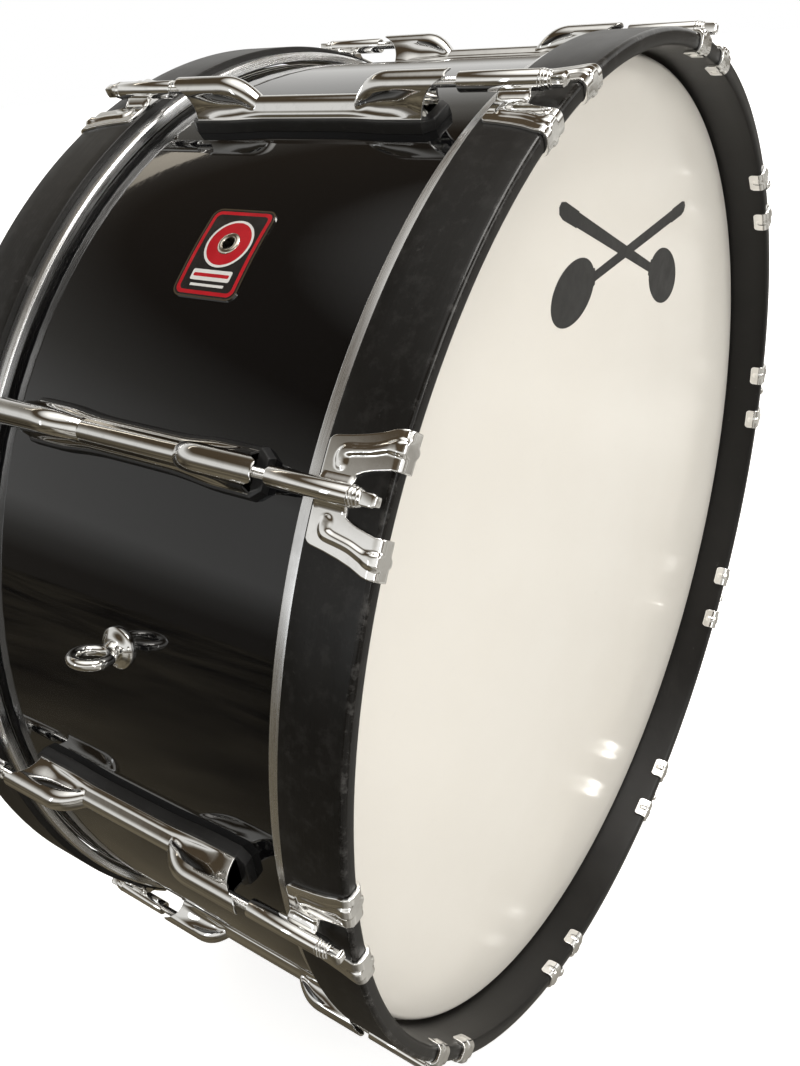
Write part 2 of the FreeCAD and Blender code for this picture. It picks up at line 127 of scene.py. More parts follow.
def rounded_section(corners, steps=5):
    """Closed outline through (a, b, radius) corners, with each corner rounded."""
    outline = []
    for index, (a, b, radius) in enumerate(corners):
        here = Vector((a, b))
        before = Vector(corners[index - 1][:2])
        after = Vector(corners[(index + 1) % len(corners)][:2])
        back = (before - here).normalized()
        ahead = (after - here).normalized()
        if radius <= 0:
            outline.append(here)
            continue
        half_angle = back.angle(ahead) / 2
        centre = here + (back + ahead).normalized() * (radius / math.sin(half_angle))
        start = here + back * (radius / math.tan(half_angle)) - centre
        end = here + ahead * (radius / math.tan(half_angle)) - centre
        turn = start.angle_signed(end)
        for step in range(steps + 1):
            outline.append(centre + Matrix.Rotation(-turn * step / steps, 2) @ start)
    return outline


def finer(outline, spacing):
    """The same closed outline with its long sides divided."""
    points = []
    for index, here in enumerate(outline):
        after = outline[(index + 1) % len(outline)]
        pieces = max(1, int((after - here).length / spacing))
        points.extend(here.lerp(after, step / pieces) for step in range(pieces))
    return points


def turns(steps):
    """Evenly spaced angles once round."""
    return [2 * math.pi * step / steps for step in range(steps)]


def turned(outline):
    """Ring-shaped solid: a closed (radius, along) outline turned about the drum's axis."""
    rings = []
    for angle in turns(ROUND_STEPS):
        rings.append([(r * math.sin(angle), y, r * math.cos(angle)) for r, y in outline])
    return skin(rings, closed_along=True)


def lathe_along(profile, steps, level=ROD_LINE, closed=True):
    """A (inboard, radius) profile turned about a line parallel to the axis, at one level."""
    rings = []
    for inboard, radius in profile:
        rings.append([(radius * math.sin(angle), inboard - RIM, level + radius * math.cos(angle))
                      for angle in turns(steps)])
    return skin(rings, caps=not closed, closed_along=closed)


def lathe_out(profile, steps, closed=True):
    """A (radius, level) profile turned about the line that stands out from the shell."""
    rings = []
    for radius, level in profile:
        rings.append([(radius * math.cos(angle), radius * math.sin(angle), level)
                      for angle in turns(steps)])
    return skin(rings, caps=not closed, closed_along=closed)


def smooth_step(value, low=0.0, high=1.0):
    step = min(1.0, max(0.0, (value - low) / (high - low)))
    return step * step * (3 - 2 * step)


def mixed(low, high, share):
    return low + (high - low) * share


def spread(low, high, edge, count):
    """Positions from low to high with extra ones close to both ends."""
    close = [share * edge for share in (0.0, 0.15, 0.45, 1.0)]
    inside = [low + edge + (high - low - 2 * edge) * step / count for step in range(1, count)]
    return [low + d for d in close] + inside + [high - d for d in reversed(close)]


def station_matrix(angle, rear=False):
    """Turns a piece from twelve o'clock at the front to its place."""
    place = Matrix.Translation((0, 0, AXIS_HEIGHT * MM))
    place = place @ Matrix.Rotation(math.radians(90.0 - angle), 4, "Y")
    if rear:
        place = place @ Matrix.Rotation(math.pi, 4, "Z")
    return place


def new_object(name, data):
    thing = bpy.data.objects.new(name, data)
    bpy.context.scene.collection.objects.link(thing)
    return thing


def piece(name, mesh, body, node, material, angle=90.0, rear=False):
    """One visible piece on its body, in place of its CAD node."""
    thing = new_object(name, mesh)
    if not mesh.materials:
        mesh.materials.append(material)
    thing.matrix_world = station_matrix(angle, rear)
    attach(thing, body)
    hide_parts(node)
    return thing


# ---- material helpers

class Nodes:
    """A node tree that is built up node by node."""

    def __init__(self, tree):
        self.tree = tree

    def link(self, value, socket):
        if hasattr(value, "is_linked"):
            self.tree.links.new(value, socket)
        else:
            socket.default_value = value

    def add(self, kind, **values):
        """A new node whose inputs are set or linked by name."""
        node = self.tree.nodes.new("ShaderNode" + kind)
        for key, value in values.items():
            self.link(value, node.inputs[key.replace("_", " ").title()])
        return node

    def math(self, operation, first, second=0.0):
        node = self.add("Math")
        node.operation = operation
        self.link(first, node.inputs[0])
        self.link(second, node.inputs[1])
        return node.outputs[0]

    def remap(self, value, low, high, new_low=0.0, new_high=1.0, way="LINEAR"):
        node = self.add("MapRange", value=value, from_min=low, from_max=high, to_min=new_low,
                        to_max=new_high)
        node.interpolation_type = way
        return node.outputs["Result"]

    def axes(self, vector):
        return self.add("SeparateXYZ", vector=vector).outputs

    def choose(self, share, first, second):
        """Two shaders mixed by a share, sent to the tree's output."""
        node = self.add("MixShader", fac=share)
        self.link(first, node.inputs[1])
        self.link(second, node.inputs[2])
        output = next(other for other in self.tree.nodes if other.name.endswith(" Output"))
        self.link(node.outputs[0], output.inputs["Surface"])


class Finish(Nodes):
    """A procedural material."""

    def __init__(self, name):
        self.material = bpy.data.materials.new(name)
        self.material.use_nodes = True
        super().__init__(self.material.node_tree)
        self.shader = self.tree.nodes["Principled BSDF"]
        self.place = self.add("TexCoord").outputs["Object"]

    def noise(self, scale, detail=3.0, rough=0.5, place=None, distortion=0.0):
        vector = self.place if place is None else place
        node = self.add("TexNoise", vector=vector, scale=scale, detail=detail, roughness=rough,
                        distortion=distortion)
        return node.outputs["Fac"]

    def mix(self, share, first, second):
        node = self.add("Mix")
        node.data_type = "RGBA"
        self.link(share, node.inputs[0])
        for value, socket in ((first, node.inputs[6]), (second, node.inputs[7])):
            self.link((*value, 1.0) if isinstance(value, tuple) else value, socket)
        return node.outputs[2]

    def around(self, along, out, radius=0.36):
        """Coordinates unrolled about the drum's axis, place along it and distance from it."""
        x, y, z = self.axes(self.place)
        angle = self.math("ARCTAN2", x, z)
        squares = self.math("ADD", self.math("MULTIPLY", x, x), self.math("MULTIPLY", z, z))
        distance = self.math("SQRT", squares)
        unrolled = self.add("CombineXYZ", x=self.math("MULTIPLY", angle, radius),
                            y=self.math("MULTIPLY", y, along), z=self.math("MULTIPLY", distance, out))
        return unrolled.outputs[0], y, distance

    def bump(self, height, strength, distance):
        """Adds a bump under the ones that are there already."""
        node = self.add("Bump", height=height, strength=strength, distance=distance)
        earlier = self.shader.inputs["Normal"].links
        if earlier:
            self.link(earlier[0].from_socket, node.inputs["Normal"])
        self.link(node.outputs[0], self.shader.inputs["Normal"])

    def set(self, **values):
        names = {"Coat Ior": "Coat IOR", "Specular": "Specular IOR Level"}
        for key, value in values.items():
            name = key.replace("_", " ").title()
            socket = self.shader.inputs[names.get(name, name)]
            self.link((*value, 1.0) if isinstance(value, tuple) else value, socket)


def chrome_finish(name, tint, low=0.035, high=0.12):
    """Polished plate: smudges, a little dulling and the waviness of a casting."""
    f = Finish(name)
    smudge = f.remap(f.noise(38.0, 5.0, 0.6), 0.42, 0.68)
    grime = f.remap(f.noise(160.0, 4.0, 0.65), 0.52, 0.74)
    dark = tuple(channel * 0.80 for channel in tint)
    f.set(base_color=f.mix(f.math("MULTIPLY", grime, 0.45), tint, dark), metallic=1.0)
    f.set(roughness=f.math("ADD", f.remap(smudge, 0.0, 1.0, low, high), f.math("MULTIPLY", grime, 0.05)))
    f.bump(f.noise(95.0, 2.0, 0.4), 0.10, 0.0006)
    f.bump(f.noise(900.0, 2.0, 0.5), 0.03, 0.0001)
    return f.material


def lacquer_finish():
    """Deep gloss black over ply: faint orange peel, dust and wiped patches."""
    f = Finish("gloss_lacquer")
    wiped = f.remap(f.noise(9.0, 5.0, 0.6), 0.45, 0.75)
    dust = f.remap(f.noise(1500.0, 2.0, 0.5), 0.70, 0.78)
    f.set(base_color=f.mix(f.math("MULTIPLY", dust, 0.25), (0.004, 0.004, 0.0045), (0.10, 0.095, 0.09)))
    f.set(roughness=f.remap(wiped, 0.0, 1.0, 0.03, 0.09), specular=0.2)
    f.set(coat_weight=0.75, coat_roughness=0.02, coat_ior=1.5)
    f.bump(f.noise(260.0, 2.0, 0.45), 0.035, 0.0004)
    f.bump(f.noise(14.0, 2.0, 0.5), 0.05, 0.002)
    return f.material


def hoop_finish():
    """Satin black lacquer on bent wood: grain round the hoop, scuffs, and lighter rim corners that are
    partly wear and partly a painted highlight.
    """
    f = Finish("satin_hoop")
    unrolled, along, distance = f.around(22.0, 22.0)
    grain = f.noise(28.0, 5.0, 0.6, unrolled)
    blotch = f.noise(11.0, 4.0, 0.6)
    scuff = f.remap(f.noise(75.0, 7.0, 0.72, distortion=0.6), 0.645, 0.70)
    depth = f.math("ABSOLUTE", along)
    corner = f.math("ADD", f.remap(depth, (RIM - 3.2) * MM, (RIM - 0.6) * MM),
                    f.remap(distance, (HOOP_OUTER - 3.2) * MM, (HOOP_OUTER - 0.6) * MM))
    edge = f.remap(corner, 0.9, 1.45)
    # Lighter grey along the rim's corners, speckled by noise: partly worn lacquer, partly a painted
    # highlight where the corner catches light.
    worn_edge_and_highlight = f.math("MULTIPLY", edge, f.remap(f.noise(120.0, 5.0, 0.7), 0.50, 0.66))
    base = f.mix(f.remap(blotch, 0.3, 0.7), (0.0065, 0.0060, 0.0055), (0.0125, 0.0115, 0.0105))
    base = f.mix(f.math("MULTIPLY", scuff, 0.5), base, (0.07, 0.068, 0.065))
    base = f.mix(f.math("MULTIPLY", worn_edge_and_highlight, 0.35), base, (0.15, 0.145, 0.14))
    f.set(base_color=base, specular=0.28)
    rough = f.remap(blotch, 0.3, 0.7, 0.34, 0.44)
    f.set(roughness=f.math("SUBTRACT", f.math("ADD", rough, f.math("MULTIPLY", scuff, 0.12)),
                           f.math("MULTIPLY", edge, 0.24)))
    f.bump(grain, 0.16, 0.0004)
    f.bump(f.noise(700.0, 3.0, 0.6), 0.12, 0.0001)
    return f.material


def aluminium_finish():
    """Flesh hoop: bright rolled aluminium with lines running round the drum."""
    f = Finish("rolled_aluminium")
    unrolled = f.around(60.0, 60.0)[0]
    lines = f.noise(40.0, 4.0, 0.65, unrolled)
    tarnish = f.remap(f.noise(30.0, 5.0, 0.6), 0.50, 0.72)
    f.set(base_color=f.mix(tarnish, (0.96, 0.965, 0.975), (0.74, 0.74, 0.745)), metallic=1.0)
    f.set(roughness=f.math("ADD", f.remap(lines, 0.3, 0.7, 0.20, 0.34), f.math("MULTIPLY", tarnish, 0.08)))
    f.bump(lines, 0.05, 0.0002)
    return f.material


def film_finish():
    """Smooth white film, slightly warm, with a soft gloss and faint marks."""
    f = Finish("white_film")
    cloud = f.noise(4.0, 4.0, 0.55)
    marks = f.remap(f.noise(55.0, 6.0, 0.7, distortion=0.4), 0.64, 0.74)
    base = f.mix(f.remap(cloud, 0.3, 0.7), (0.755, 0.727, 0.672), (0.78, 0.757, 0.708))
    f.set(base_color=f.mix(f.math("MULTIPLY", marks, 0.10), base, (0.55, 0.53, 0.50)))
    f.set(roughness=f.remap(cloud, 0.3, 0.7, 0.17, 0.26), specular=0.4)
    f.set(coat_weight=0.2, coat_roughness=0.10)
    f.bump(f.noise(5.0, 2.0, 0.5), 0.06, 0.004)
    f.bump(f.noise(1400.0, 2.0, 0.5), 0.03, 0.0001)
    return f.material


def plastic_finish():
    """Moulded black plastic with a fine grain and a little dust."""
    f = Finish("moulded_plastic")
    dust = f.remap(f.noise(220.0, 5.0, 0.7), 0.55, 0.72)
    f.set(base_color=f.mix(f.math("MULTIPLY", dust, 0.35), (0.010, 0.010, 0.0105), (0.045, 0.043, 0.040)))
    f.set(roughness=f.remap(f.noise(40.0, 4.0, 0.6), 0.3, 0.7, 0.30, 0.42), specular=0.5)
    f.bump(f.noise(1800.0, 3.0, 0.6), 0.10, 0.0001)
    return f.material


def enamel_finish(name, colour, deeper):
    """Printed enamel under a clear coat."""
    f = Finish(name)
    f.set(base_color=f.mix(f.remap(f.noise(60.0, 4.0, 0.6), 0.35, 0.7), colour, deeper))
    f.set(roughness=f.remap(f.noise(90.0, 3.0, 0.5), 0.3, 0.7, 0.16, 0.28))
    f.set(coat_weight=0.7, coat_roughness=0.06)
    f.bump(f.noise(900.0, 2.0, 0.5), 0.04, 0.0001)
    return f.material


def ink_finish():
    """Flat black ink printed on the film, thinner here and there."""
    f = Finish("head_ink")
    thin = f.remap(f.noise(420.0, 4.0, 0.6), 0.60, 0.75)
    f.set(base_color=f.mix(f.math("MULTIPLY", thin, 0.3), (0.016, 0.016, 0.016), (0.07, 0.07, 0.068)))
    f.set(roughness=f.remap(f.noise(80.0, 3.0, 0.5), 0.3, 0.7, 0.36, 0.48))
    f.bump(f.noise(1500.0, 2.0, 0.5), 0.05, 0.0001)
    return f.material


FLOOR_GLOW = (0.72, 1.06)
FLOOR_GLOW_REACH = (0.5, 1.8)
ROOM_AHEAD = -0.5


def floor_finish():
    """Plain floor that glows for the camera; for glossy pieces it glows as a painted reflection of a darker
    room, brighter ahead.
    """
    f = Finish("pale_floor")
    f.set(base_color=f.mix(f.noise(2.0, 3.0, 0.5), (0.90, 0.90, 0.90), (0.93, 0.93, 0.925)))
    f.set(roughness=f.remap(f.noise(3.0, 3.0, 0.5), 0.3, 0.7, 0.65, 0.8), specular=0.1)
    path = f.add("LightPath").outputs
    reach = f.add("VectorMath")
    reach.operation = "LENGTH"
    f.link(f.place, reach.inputs[0])
    glow = f.remap(reach.outputs["Value"], *FLOOR_GLOW_REACH, *FLOOR_GLOW)
    f.set(emission_color=(1.0, 1.0, 1.0), emission_strength=f.math("MULTIPLY", path["Is Camera Ray"], glow))
    # Painted reflection: glossy rays see the floor glow with the dark and light patches of a made-up room,
    # brighter ahead.
    painted_room_patches = f.remap(f.noise(1.3, 4.0, 0.6), 0.38, 0.66)
    far = f.mix(painted_room_patches, (0.024, 0.019, 0.013), (0.17, 0.145, 0.10))
    near = f.mix(painted_room_patches, (0.16, 0.145, 0.12), (0.80, 0.78, 0.73))
    room = f.mix(f.remap(f.axes(f.place)[1], 0.0, ROOM_AHEAD), far, near)
    f.choose(path["Is Glossy Ray"], f.shader.outputs[0], f.add("Emission", color=room).outputs[0])
    return f.material


LACQUER = lacquer_finish()
HOOP_BLACK = hoop_finish()
ALUMINIUM = aluminium_finish()
WHITE_FILM = film_finish()
CHROME = chrome_finish("chrome_plate", (0.97, 0.965, 0.95))
CAST_CHROME = chrome_finish("cast_chrome", (0.84, 0.835, 0.82), 0.03, 0.10)
NICKEL = chrome_finish("rolled_nickel", (0.74, 0.69, 0.60), 0.12, 0.24)
ZINC = chrome_finish("zinc_plate", (0.62, 0.62, 0.61), 0.28, 0.40)
PLASTIC = plastic_finish()
BADGE_BLACK = enamel_finish("badge_black", (0.012, 0.011, 0.012), (0.02, 0.018, 0.018))
BADGE_RED = enamel_finish("badge_red", (0.52, 0.012, 0.022), (0.40, 0.008, 0.016))
BADGE_WHITE = enamel_finish("badge_white", (0.80, 0.79, 0.77), (0.70, 0.69, 0.67))
INK = ink_finish()


# ---- hoops and heads

def counterhoop_mesh():
    outline = rounded_section((
        (HOOP_OUTER, -RIM, 3.0), (HOOP_OUTER, HOOP_WIDTH - RIM, 1.0),
        (HOOP_OUTER - HOOP_THICKNESS, HOOP_WIDTH - RIM, 1.0), (HOOP_OUTER - HOOP_THICKNESS, -RIM, 3.0),
    ))
    return mesh_from("counterhoop", *turned(finer(outline, 8.0)))


def flesh_hoop_mesh():
    """Rolled channel: a raised bead outboard, a shallow groove and a bevelled inboard edge."""
    outer = FLESH_OUTER
    outline = rounded_section((
        (outer, -FLESH_OUTBOARD, 0.4), (outer, -FLESH_INBOARD - 1.0, 0.5),
        (outer - 1.2, -FLESH_INBOARD, 0.5), (FLESH_INNER + 0.6, -FLESH_INBOARD, 0.5),
        (FLESH_INNER, -FLESH_INBOARD - 0.8, 0.3), (FLESH_INNER, -FLESH_OUTBOARD, 0.4),
    ), 4)
    return mesh_from("flesh_hoop", *turned(finer(outline, 3.0)))


def film_mesh():
    """Flat film, a rounded crown over the shell's edge and a collar into the flesh hoop."""
    tuck = -FLESH_OUTBOARD + 4.0
    rings = [(0.0, -FILM_FACE)]
    rings.extend((radius, -FILM_FACE) for radius in (60.0, 140.0, 220.0, 290.0, 330.0))
    rings.extend(round_corner(FILM_COLLAR, -FILM_FACE, CROWN_ROUND))
    rings.extend(((FILM_COLLAR, tuck), (FILM_COLLAR - FILM, tuck)))
    rings.extend(reversed(round_corner(FILM_COLLAR - FILM, -FILM_FACE + FILM, CROWN_ROUND - FILM)))
    rings.extend((radius, -FILM_FACE + FILM) for radius in (330.0, 220.0, 60.0))
    rings.append((0.0, -FILM_FACE + FILM))
    return mesh_from("head_film", *disc_turned(rings, 256))


def round_corner(radius, along, bend, steps=8):
    """Quarter bend from a flat face at one place along the drum to a wall at one radius."""
    centre = (radius - bend, along + bend)
    points = []
    for step in range(steps + 1):
        angle = math.radians(90.0 * step / steps)
        points.append((centre[0] + bend * math.sin(angle), centre[1] - bend * math.cos(angle)))
    return points


def disc_turned(profile, steps):
    """A (radius, along) profile that starts and ends on the axis, turned about it."""
    points = [(0.0, profile[0][1], 0.0)]
    faces = []
    for radius, along in profile[1:-1]:
        points.extend((radius * math.sin(angle), along, radius * math.cos(angle)) for angle in turns(steps))
    points.append((0.0, profile[-1][1], 0.0))
    last = len(points) - 1
    rows = len(profile) - 2
    for step in range(steps):
        beside = (step + 1) % steps
        faces.append((0, 1 + step, 1 + beside))
        for row in range(rows - 1):
            here = 1 + row * steps
            faces.append((here + step, here + steps + step, here + steps + beside, here + beside))
        end = 1 + (rows - 1) * steps
        faces.append((end + step, last, end + beside))
    return points, faces


def build_rings():
    hoop = counterhoop_mesh()
    flesh = flesh_hoop_mesh()
    film = film_mesh()
    rows = (("_hoop_ply", hoop, "_hoop", "_counterhoop", "hoop_black", HOOP_BLACK),
            ("_flesh_ring", flesh, "_head", "_flesh_hoop", "flesh_aluminium", ALUMINIUM),
            ("_film_skin", film, "_head", "_head_film", "head_white", WHITE_FILM))
    for end in ("front", "rear"):
        for name, mesh, body, node, slot, material in rows:
            piece(end + name, mesh, end + body, end + node, material, 90.0, end == "rear")


# ---- claws

CLAW_OUTER = 367.8
CLAW_LIP = 354.0
CLAW_PROUD = 2.2
CLAW_BEND = 4.8
CLAW_REACH = 38.0
CLAW_LIP_REACH = 10.0
CLAW_UNDER = HOOP_OUTER + 0.1
SADDLE_REACH = (19.0, 19.1, 19.5, 20.3, 22.0, 26.0, 30.0, 34.0, 36.6, 37.5, 37.9, 38.0)
SADDLE_HALF = 12.8
SADDLE_CREST = 9.0
SADDLE_EASE = 3.2
SADDLE_TOP = 5.6
SADDLE_ROUND = 1.3
SADDLE_FALL = 1.4
SADDLE_SUNK = 0.25
SADDLE_STEPS = 14
TUBE_RADIUS = 5.05
TUBE_BORE = 3.1
TUBE_START = 14.5
TUBE_END = 60.0
BEND_LENGTH = CLAW_BEND * math.pi / 2
FIRST_BEND = CLAW_REACH - (CLAW_BEND - CLAW_PROUD)
RIM_FACE = CLAW_OUTER - CLAW_LIP - 2 * CLAW_BEND
SECOND_BEND = FIRST_BEND + BEND_LENGTH + RIM_FACE
LIP_START = SECOND_BEND + BEND_LENGTH
PATH_END = LIP_START + CLAW_LIP_REACH - (CLAW_BEND - CLAW_PROUD)

# Edges of one arm: (distance along the bent path from the inboard end, sideways)
ARM_OUTER = ((0.0, 21.4), (0.5, 23.3), (1.6, 24.7), (3.4, 25.4), (11.0, 26.6), (19.6, 28.4), (26.8, 30.4),
             (33.3, 33.0), (36.6, 33.5), (PATH_END - 3.0, 33.5), (PATH_END - 0.8, 32.5), (PATH_END, 30.6))
ARM_INNER = ((0.0, 4.5), (18.2, 4.5), (18.8, 9.3), (21.4, 10.8), (25.8, 12.4), (35.5, 14.5),
             (PATH_END - 3.0, 14.5), (PATH_END - 0.8, 15.5), (PATH_END, 17.4))
# Line beside the rib that the sheet's mesh follows: (path distance, sideways)
ARM_MIDDLE = ((0.0, 9.5), (12.0, 9.9), (18.0, 11.2), (21.4, 12.6), (25.8, 14.4), (35.5, 16.6),
              (PATH_END, 19.5))
# Raised rib on an arm: (path distance, sideways, half width, height)
RIB = ((9.4, 13.2, 2.6, 0.7), (8.9, 16.0, 2.6, 1.0), (9.8, 18.4, 2.4, 1.1), (13.0, 19.6, 2.0, 1.1),
       (17.0, 20.3, 1.8, 1.1), (24.0, 21.6, 1.8, 1.1), (31.0, 23.9, 2.0, 1.1), (35.2, 24.8, 3.0, 1.3),
       (39.0, 24.9, 3.3, 1.5), (43.0, 24.7, 2.4, 1.1), (49.0, 24.5, 1.9, 0.9), (57.0, 24.5, 1.8, 0.8))
RIB_SLOPE = 2.6
RIB_STEPS = 5
RIB_NEAR = 8.0
ARM_ROWS = 96
ARM_COLUMNS = (12, 34)
EDGE_ROUND = 0.6


def along_table(table, distance):
    """Linear reading of a table of (distance, value) pairs."""
    for (start, first), (end, second) in zip(table, table[1:]):
        if distance <= end:
            share = max(0.0, (distance - start) / (end - start))
            return mixed(first, second, share)
    return table[-1][1]


def claw_path(distance):
    """(inboard, radius, inboard part of the normal, outward part) on the claw's outer skin."""
    centre = CLAW_BEND - CLAW_PROUD
    if distance <= FIRST_BEND:
        return CLAW_REACH - distance, CLAW_OUTER, 0.0, 1.0
    if distance <= FIRST_BEND + BEND_LENGTH:
        angle = (distance - FIRST_BEND) / CLAW_BEND
        across, out = -math.sin(angle), math.cos(angle)
        return centre + CLAW_BEND * across, CLAW_OUTER - CLAW_BEND + CLAW_BEND * out, across, out
    if distance <= SECOND_BEND:
        return -CLAW_PROUD, CLAW_OUTER - CLAW_BEND - (distance - FIRST_BEND - BEND_LENGTH), -1.0, 0.0
    if distance <= LIP_START:
        angle = (distance - SECOND_BEND) / CLAW_BEND
        across, out = -math.cos(angle), -math.sin(angle)
        return centre + CLAW_BEND * across, CLAW_LIP + CLAW_BEND + CLAW_BEND * out, across, out
    return centre + distance - LIP_START, CLAW_LIP, 0.0, -1.0


def sheet_thickness(distance):
    if distance <= FIRST_BEND:
        return CLAW_OUTER - CLAW_UNDER
    return CLAW_OUTER - CLAW_UNDER + 0.2 * smooth_step(distance, FIRST_BEND, FIRST_BEND + BEND_LENGTH)


def rib_route():
    """The rib's stations, joined by a smooth curve."""
    ends = (RIB[0],) + RIB + (RIB[-1],)
    route = []
    for before, start, stop, after in zip(ends, ends[1:], ends[2:], ends[3:]):
        for step in range(RIB_STEPS):
            t = step / RIB_STEPS
            weights = (-0.5 * t + t * t - 0.5 * t ** 3, 1.0 - 2.5 * t * t + 1.5 * t ** 3,
                       0.5 * t + 2.0 * t * t - 1.5 * t ** 3, -0.5 * t * t + 0.5 * t ** 3)
            route.append([sum(w * v for w, v in zip(weights, values))
                          for values in zip(before, start, stop, after)])
    route.append(RIB[-1])
    return route


def rib_height(distance, sideways):
    """Height of the pressed rib at one point of an arm."""
    best = 0.0
    for start, stop in zip(RIB_ROUTE, RIB_ROUTE[1:]):
        if abs(distance - start[0]) > RIB_NEAR:
            continue
        run = Vector((stop[0] - start[0], stop[1] - start[1]))
        offset = Vector((distance - start[0], sideways - start[1]))
        share = min(1.0, max(0.0, offset.dot(run) / run.length_squared))
        gap = (offset - run * share).length
        half = mixed(start[2], stop[2], share)
        height = mixed(start[3], stop[3], share)
        best = max(best, height * (1.0 - smooth_step(gap, half - RIB_SLOPE / 2, half + RIB_SLOPE / 2)))
    return best


RIB_ROUTE = rib_route()


def edge_drop(gap):
    """How far the skin falls beside an edge, so that the edge is rounded."""
    if gap >= EDGE_ROUND:
        return 0.0
    return EDGE_ROUND - math.sqrt(max(0.0, EDGE_ROUND ** 2 - (EDGE_ROUND - gap) ** 2))


def claw_point(distance, sideways, height, side):
    inboard, radius, across, out = claw_path(distance)
    inboard = max(inboard + across * height, -CLAW_PROUD)
    radius += out * height
    return (side * sideways, inboard - RIM, math.sqrt(radius ** 2 - sideways ** 2))


def claw_arm(side):
    """One arm as a closed sheet with a pressed rib and rounded edges."""
    rows = spread(0.0, PATH_END, EDGE_ROUND, ARM_ROWS)
    rings = []
    for distance in rows:
        inner = along_table(ARM_INNER, distance)
        outer = along_table(ARM_OUTER, distance)
        end_gap = min(distance, PATH_END - distance)
        middle = along_table(ARM_MIDDLE, distance)
        columns = spread(inner, middle, EDGE_ROUND, ARM_COLUMNS[0])
        columns += spread(middle, outer, EDGE_ROUND, ARM_COLUMNS[1])[1:]
        ring = []
        for sideways in columns:
            gap = min(sideways - inner, outer - sideways, end_gap)
            height = rib_height(distance, sideways) - edge_drop(gap)
            ring.append(claw_point(distance, sideways, height, side))
        depth = -sheet_thickness(distance)
        for share in (1.0, 0.5, 0.0):
            ring.append(claw_point(distance, mixed(inner, outer, share), depth, side))
        rings.append(ring)
    return skin(rings)


def claw_saddle():
    """Fillet between the arms and the tube, with rounded ends."""
    rings = []
    for inboard in SADDLE_REACH:
        end_gap = min(inboard - SADDLE_REACH[0], SADDLE_REACH[-1] - inboard)
        fall = 1.0 - math.sqrt(max(0.0, 1.0 - (1.0 - min(1.0, end_gap / SADDLE_ROUND)) ** 2))
        ring = []
        for step in range(-SADDLE_STEPS, SADDLE_STEPS + 1):
            share = step / SADDLE_STEPS
            sideways = SADDLE_HALF * share
            crest = min(SADDLE_TOP, SADDLE_CREST * max(0.0, 1.0 - abs(share)) ** SADDLE_EASE)
            level = math.sqrt(CLAW_OUTER ** 2 - sideways ** 2) - SADDLE_SUNK + crest - SADDLE_FALL * fall
            ring.append((sideways, inboard - RIM, level))
        for share in (1.0, 0.5, 0.0, -0.5, -1.0):
            sideways = SADDLE_HALF * share
            ring.append((sideways, inboard - RIM, math.sqrt(CLAW_UNDER ** 2 - sideways ** 2) + 0.05))
        rings.append(ring)
    return skin(rings)


def claw_tube():
    """Tube that takes the rod's pull, with its end edges broken."""
    profile = []
    for inboard, inward in ((TUBE_START, 1), (TUBE_END, -1)):
        rim = [(0.0, TUBE_RADIUS - 0.5), (0.12, TUBE_RADIUS - 0.15), (0.5, TUBE_RADIUS)]
        rim = [(inboard + inward * depth, radius) for depth, radius in rim]
        profile.extend(rim if inward > 0 else reversed(rim))
    bore = [(TUBE_END, TUBE_BORE + 0.3), (TUBE_END - 0.3, TUBE_BORE), (TUBE_START + 0.3, TUBE_BORE),
            (TUBE_START, TUBE_BORE + 0.3)]
    return lathe_along(profile + bore, 40)


def claw_mesh():
    return mesh_from("claw", *joined([claw_arm(1), claw_arm(-1), claw_saddle(), claw_tube()]), 40.0)


# ---- rods

KEY_HALF = 3.15
KEY_ROUND = 0.7
SHANK = 2.75
THREAD_LEAD = 25.4 / 24
THREAD_DEPTH = 0.45
THREAD_START = 58.5
THREAD_END = 79.0
ROD_END = 92.0
THREAD_STEPS = 18
WASHER_BORE = 3.1


def square_ring(inboard, half):
    """Rounded square section of the key, centred on the rod's line."""
    corner = min(KEY_ROUND, half * 0.4)
    ring = []
    for quadrant in range(4):
        base = math.radians(90.0 * quadrant)
        centre = Vector((math.cos(base + math.pi / 4), math.sin(base + math.pi / 4)))
        centre *= (half - corner) * math.sqrt(2)
        for step in range(5):
            angle = base + math.radians(90.0 * step / 4)
            x = centre.x + corner * math.cos(angle)
            z = centre.y + corner * math.sin(angle)
            ring.append((x, inboard - RIM, ROD_LINE + z))
    return ring


def rod_key():
    stages = ((0.3, 1.7), (0.42, 2.05), (0.75, 2.35), (1.9, KEY_HALF - 0.08), (2.4, KEY_HALF),
              (7.6, KEY_HALF), (8.05, KEY_HALF - 0.1), (8.3, KEY_HALF - 0.5))
    return skin([square_ring(inboard, half) for inboard, half in stages])


def rod_collars():
    """Collar and flange under the key, then the plain shank to the thread."""
    profile = ((8.0, 2.6), (8.0, 3.6), (8.25, 3.95), (8.9, 4.0), (9.15, 3.8), (9.3, 3.9),
               (9.3, 4.2), (9.55, 4.55), (10.8, 4.6), (11.1, 4.35), (11.1, SHANK), (11.5, SHANK),
               (THREAD_START, SHANK))
    return lathe_along(profile, 28, closed=False)


def rod_thread():
    """Cut thread that shows between the claw's tube and the lug."""
    rings = []
    rows = int((THREAD_END - THREAD_START) / THREAD_LEAD * 6)
    for row in range(rows + 1):
        inboard = THREAD_START + (THREAD_END - THREAD_START) * row / rows
        ring = []
        for step in range(THREAD_STEPS):
            turn = step / THREAD_STEPS
            phase = (inboard / THREAD_LEAD - turn) % 1.0
            radius = SHANK - THREAD_DEPTH * (1.0 - abs(2 * phase - 1.0))
            angle = 2 * math.pi * turn
            ring.append((radius * math.sin(angle), inboard - RIM, ROD_LINE + radius * math.cos(angle)))
        rings.append(ring)
    return skin(rings)


def rod_mesh():
    profile = ((THREAD_END - 0.2, SHANK - 0.3), (THREAD_END, SHANK - 0.25), (ROD_END - 0.6, SHANK - 0.25),
               (ROD_END, SHANK - 0.8))
    end = lathe_along(profile, THREAD_STEPS, closed=False)
    return mesh_from("tension_rod", *joined([rod_key(), rod_collars(), rod_thread(), end]), 38.0)


